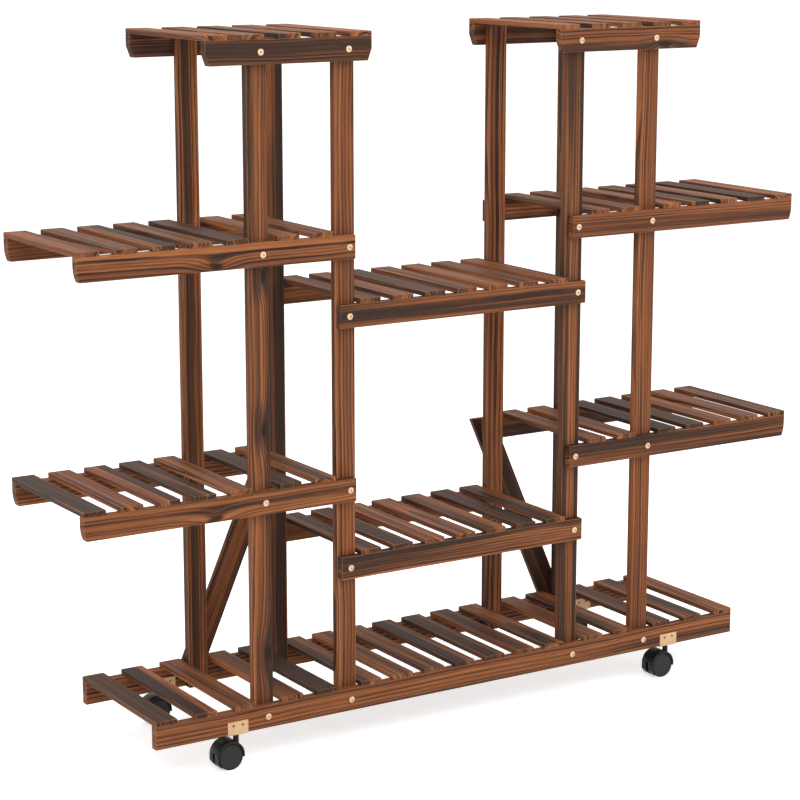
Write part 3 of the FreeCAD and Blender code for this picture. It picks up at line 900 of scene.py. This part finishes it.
boxes = solidBoxes("castor_brackets")
piece = repeatPart(
    "castor_brackets_folded", plainRepeat, [middleOf(box) for box in boxes], [(0, 0, 0)] * len(boxes),
    bracketMesh("castor_brackets", sizeOf(boxes[0])), {"finish": bracketFinish},
)
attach(piece, "frame")
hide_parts("castor_brackets")
print("brackets made")


# wheels: twin wheels with a rounded tread and a shallow dished face

wheel = {
    "edge": 1.6 * mm,
    "edgeSteps": 6,
    "rim": 2 * mm,
    "soft": 0.2 * mm,
    "recess": 0.6 * mm,
    "crown": 0.35 * mm,      # how much the face bulges
    "crownSteps": (0.97, 0.9, 0.75, 0.55, 0.3, 0),   # shares of the face's radius
    "bore": 2.55 * mm,
    "face": 3.2 * mm,        # what the bore leaves of the width
    "steps": 96,
}


def makeWheel(nodeName, bodyName):
    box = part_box(nodeName)
    centre, size = middleOf(box), sizeOf(box)
    radius, width = size.x / 2, size.y
    edge, soft, recess = wheel["edge"], wheel["soft"], wheel["recess"]
    disc = radius - wheel["rim"]
    boreDepth = width - wheel["face"]
    profile = [(0, boreDepth), (wheel["bore"], boreDepth), (wheel["bore"], 0)]
    profile += arcPoints((radius - edge, edge), edge, -90, 0, wheel["edgeSteps"])
    profile += arcPoints((radius - edge, width - edge), edge, 0, 90, wheel["edgeSteps"])
    profile += [(disc + soft, width), (disc, width - soft), (disc, width - recess)]
    for share in wheel["crownSteps"]:
        profile.append((disc * share, width - recess + wheel["crown"] * (1 - share ** 2)))
    mesh = latheMesh(nodeName, profile, wheel["steps"])
    onFace = [
        vertex.co.z > width - recess and vertex.co.xy.length < disc for vertex in mesh.vertices
    ]
    setAttribute(mesh, "face", "FLOAT", [float(marked) for marked in onFace])
    outward = -1 if nodeName.endswith("_front") else 1
    inner = box[0].y if outward > 0 else box[1].y
    turn = Matrix.Rotation(-outward * math.pi / 2, 4, "X")
    mesh.transform(Matrix.Translation((centre.x, inner, centre.z)) @ turn)
    mesh.materials.append(wheelFinish)
    piece = bpy.data.objects.new(nodeName + "_moulded", mesh)
    scene.collection.objects.link(piece)
    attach(piece, bodyName)
    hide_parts(nodeName)


for nodeName in sorted(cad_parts):
    if nodeName.startswith("wheel_"):
        makeWheel(nodeName, nodeName.replace("wheel_", "roller_"))
print("wheels made")


# the pieces kept as they are in the frame get their finishes, and the hoods soft edges

hood = {"ease": 0.35 * mm, "easeSteps": 2, "sharp": math.radians(40)}
plainSteel = ("king_pins", "threaded_inserts", "slat_brads")


def dress(nodeName, finish):
    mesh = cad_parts[nodeName].data
    mesh.materials.clear()
    mesh.materials.append(finish)


def easeHood(nodeName):
    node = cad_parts[nodeName]
    weld = node.modifiers.new("weld", "WELD")
    weld.merge_threshold = nearlySame
    bevel = node.modifiers.new("ease", "BEVEL")
    bevel.width = hood["ease"]
    bevel.segments = hood["easeSteps"]
    bevel.limit_method = "ANGLE"
    bevel.angle_limit = hood["sharp"]


for nodeName in sorted(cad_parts):
    if nodeName.startswith("castor_hood_"):
        dress(nodeName, hoodFinish)
        easeHood(nodeName)
    elif nodeName.startswith("castor_axle_") or nodeName in plainSteel:
        dress(nodeName, steelFinish)
dress("bracket_screws", screwFinish)
print("frame pieces dressed")


# floor, light and camera

stage = {
    "floor": colour(242, 242, 242),
    "floorHalf": 30,
    "floorGlow": 0.58,
    "skyLight": 0.7,
    "lamps": (
        # name, place, aimed at, watts, size
        ("keyLamp", (-2.4, -3.0, 3.4), (0, 0, 0.5), 90, 3.0),
        ("fillLamp", (3.2, -2.4, 2.2), (0, 0, 0.5), 40, 2.6),
        ("topLamp", (0.3, 0.8, 4.0), (0, 0, 0.4), 40, 3.0),
    ),
}


def seenRays(tree):
    # one where the camera sees the background, straight or in gloss or glass
    path = addNode(tree, "ShaderNodeLightPath").outputs
    seen = Field(tree, path["Is Camera Ray"]).math("MAXIMUM", path["Is Glossy Ray"])
    return seen.math("MAXIMUM", path["Is Transmission Ray"])


def makeFloor():
    shape = bmesh.new()
    bmesh.ops.create_grid(shape, x_segments=1, y_segments=1, size=stage["floorHalf"])
    mesh = bpy.data.meshes.new("floor")
    shape.to_mesh(mesh)
    shape.free()
    material, tree, shader = newFinish("paleFloor")
    tree.nodes.remove(shader)
    matt = addNode(tree, "ShaderNodeBsdfDiffuse", {"Color": stage["floor"]})
    glow = addNode(tree, "ShaderNodeEmission", {"Strength": seenRays(tree) * stage["floorGlow"]})
    both = addNode(tree, "ShaderNodeAddShader", {0: matt.outputs[0], 1: glow.outputs[0]})
    tree.links.new(both.outputs[0], tree.nodes["Material Output"].inputs["Surface"])
    mesh.materials.append(material)
    floor = bpy.data.objects.new("floor", mesh)
    scene.collection.objects.link(floor)


def makeSky():
    world = bpy.data.worlds.new("studio")
    scene.world = world
    world.use_nodes = True
    tree = world.node_tree
    back = tree.nodes["Background"]
    back.inputs["Color"].default_value = (1, 1, 1, 1)
    strength = seenRays(tree) * (1 - stage["skyLight"]) + stage["skyLight"]
    connect(tree, strength, back.inputs["Strength"])


def makeLamp(name, place, target, watts, size):
    lamp = bpy.data.lights.new(name, "AREA")
    lamp.energy, lamp.size = watts, size
    holder = bpy.data.objects.new(name, lamp)
    holder.location = place
    holder.rotation_euler = (Vector(target) - Vector(place)).to_track_quat("-Z", "Y").to_euler()
    scene.collection.objects.link(holder)


camera = {
    "place": (-1.9588, -3.0343, 1.2408),
    "turn": 32.29,    # degrees to the right of straight at the stand
    "tilt": 11.79,    # degrees down
    "lens": 105.87,
    "sensor": 36.0,
    "clip": (0.05, 100),
}


def makeCamera():
    lens = bpy.data.cameras.new("camera")
    lens.lens, lens.sensor_width = camera["lens"], camera["sensor"]
    lens.clip_start, lens.clip_end = camera["clip"]
    holder = bpy.data.objects.new("camera", lens)
    holder.location = camera["place"]
    holder.rotation_euler = (math.radians(90 - camera["tilt"]), 0, -math.radians(camera["turn"]))
    scene.collection.objects.link(holder)
    scene.camera = holder


makeFloor()
makeSky()
for lampRow in stage["lamps"]:
    makeLamp(*lampRow)
makeCamera()
scene.view_settings.view_transform = "Standard"
print("stage set")
